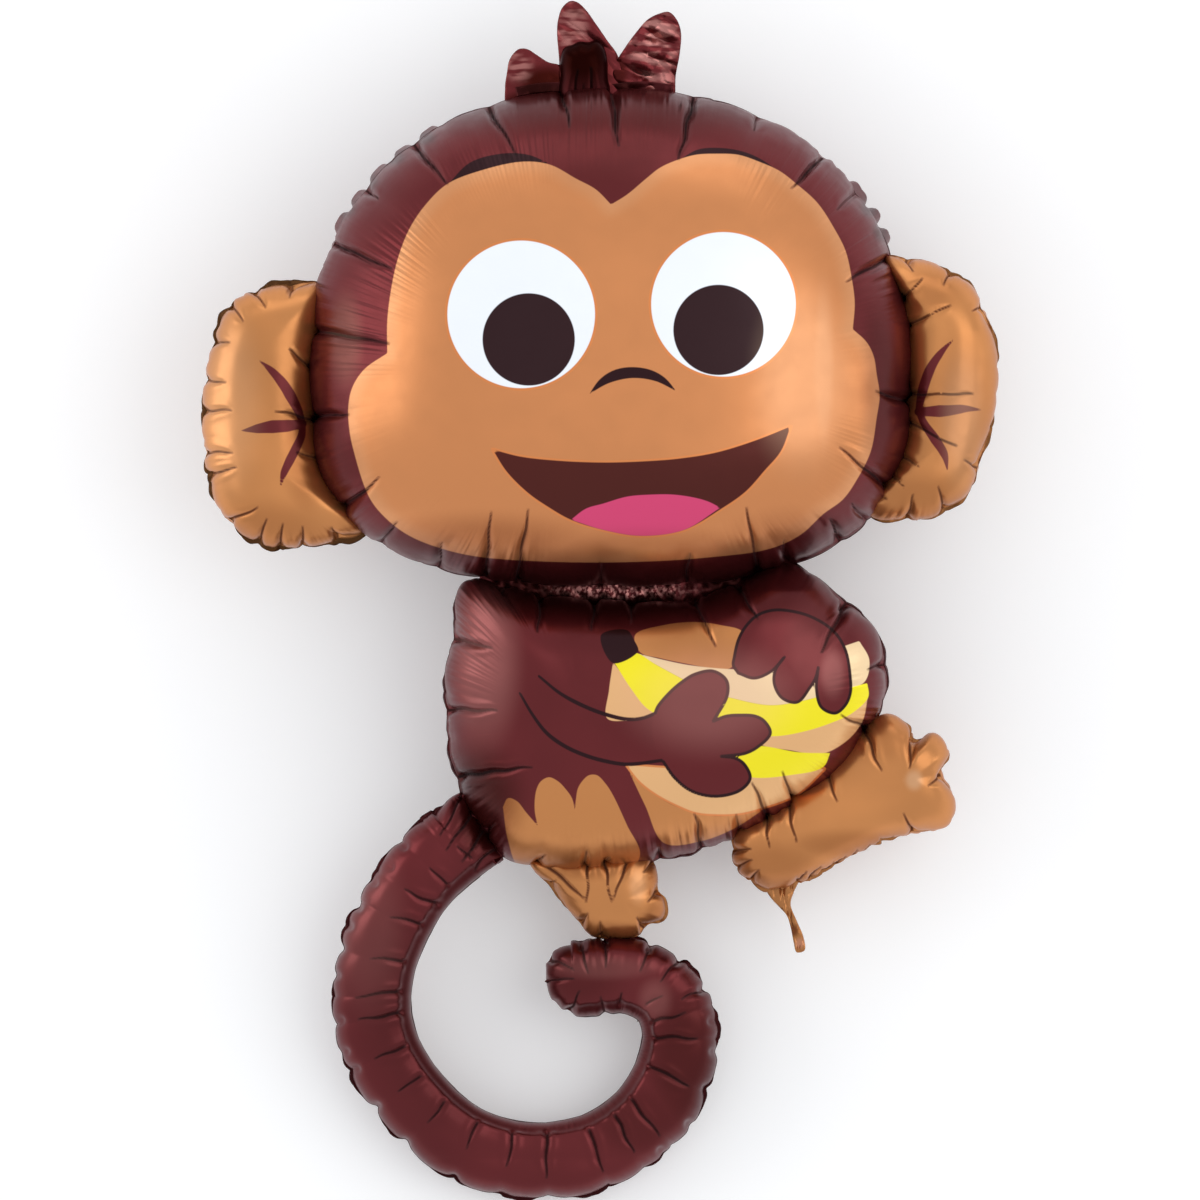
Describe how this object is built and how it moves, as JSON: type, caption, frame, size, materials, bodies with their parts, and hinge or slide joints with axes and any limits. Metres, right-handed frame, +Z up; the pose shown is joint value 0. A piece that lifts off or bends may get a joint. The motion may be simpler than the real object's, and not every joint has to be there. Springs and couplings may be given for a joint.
{
  "type": "monkey foil balloon",
  "caption": "Air-filled foil balloon shaped as a smiling monkey that hugs bananas, with round ears and a curled tail, lying on its back with the printed front up.",
  "frame": {"origin": "middle of the bounding box in X and Y, on the ground that the back of the head and the tail rest on", "axes": "+X to the right of the printed front, +Y towards the top of the head, +Z up out of the printed front"},
  "size_m": [0.602, 0.9098, 0.241],
  "materials": {
    "printed_foil": "glossy metallised film printed in brown, with tan, white, dark brown, pink and yellow areas"
  },
  "bodies": {
    "root": {"foil_envelope": "printed_foil"}
  },
  "joints": []
}
